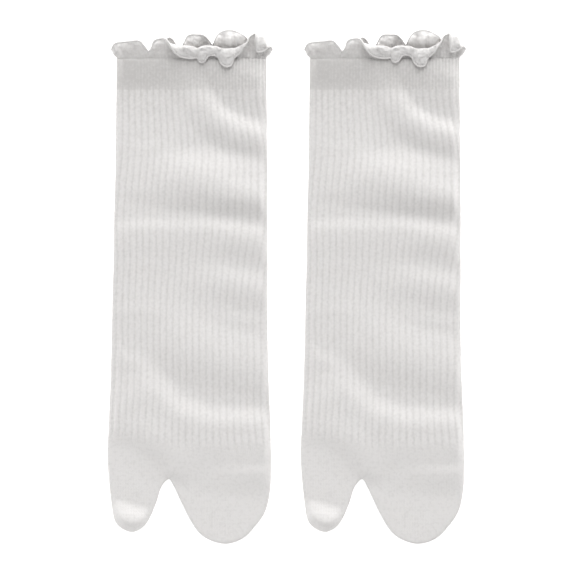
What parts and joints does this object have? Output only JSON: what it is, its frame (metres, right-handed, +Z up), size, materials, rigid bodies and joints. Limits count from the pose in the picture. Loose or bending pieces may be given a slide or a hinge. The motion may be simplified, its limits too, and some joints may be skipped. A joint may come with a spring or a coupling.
{
  "type": "pair of tabi socks",
  "caption": "Off-white split-toe socks of ribbed knit with a ruffled mouth, lying flat side by side.",
  "frame": {"origin": "on the surface that the socks lie on, at the middle of the pair's outline", "axes": "+Y from the toes towards the mouths, +X from the left sock to the right one, +Z up from the surface"},
  "size_m": [0.2148, 0.3073, 0.0116],
  "materials": {
    "ruffle_knit": "matt cotton knit",
    "cuff_knit": "matt cotton knit",
    "leg_knit": "matt cotton knit",
    "toes_knit": "matt cotton knit"
  },
  "bodies": {
    "root": {"left_ruffle": "ruffle_knit", "left_cuff": "cuff_knit", "left_leg": "leg_knit", "left_toes": "toes_knit", "right_ruffle": "ruffle_knit", "right_cuff": "cuff_knit", "right_leg": "leg_knit", "right_toes": "toes_knit"}
  },
  "joints": []
}
